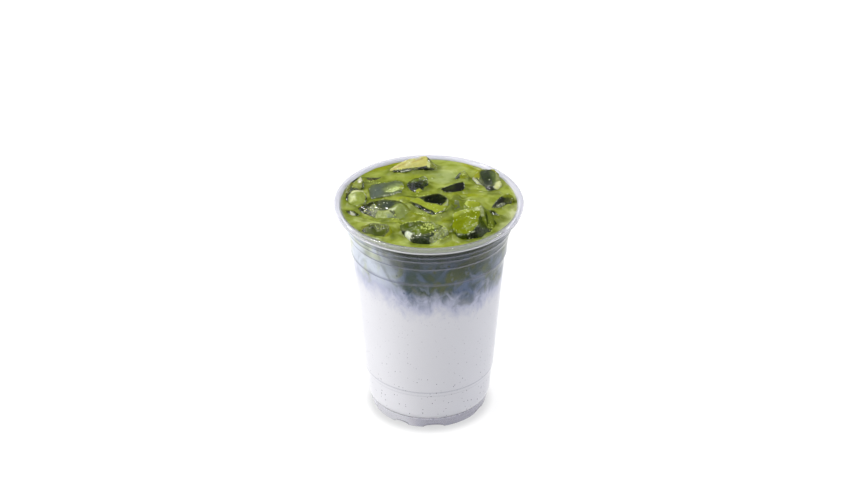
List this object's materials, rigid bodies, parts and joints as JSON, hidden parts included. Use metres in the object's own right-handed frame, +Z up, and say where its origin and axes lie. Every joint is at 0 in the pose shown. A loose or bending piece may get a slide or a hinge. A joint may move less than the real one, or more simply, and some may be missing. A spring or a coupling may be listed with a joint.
{
  "type": "iced matcha latte",
  "caption": "Iced matcha latte: green tea over white milk in a clear tapered plastic cup with a rolled rim, loose ice standing out of the drink.",
  "frame": {"origin": "middle of the foot ring, on the surface the cup stands on", "axes": "+Z up along the cup's axis, -Y towards the side shown in the picture, +X to its right"},
  "size_m": [0.098, 0.098, 0.1267],
  "materials": {
    "cup": "clear, thin, smooth",
    "milk": "opaque liquid against the wall",
    "matcha": "opaque wet liquid",
    "ice": "wet, clear to cloudy"
  },
  "bodies": {
    "root": {"cup": "cup", "milk": "milk", "matcha": "matcha", "ice_01": "ice", "ice_02": "ice", "ice_03": "ice", "ice_04": "ice", "ice_05": "ice", "ice_06": "ice", "ice_07": "ice", "ice_08": "ice", "ice_09": "ice", "ice_10": "ice", "ice_11": "ice", "ice_12": "ice", "ice_13": "ice", "ice_14": "ice", "ice_15": "ice", "ice_16": "ice", "ice_17": "ice", "ice_18": "ice", "ice_19": "ice"}
  },
  "joints": []
}
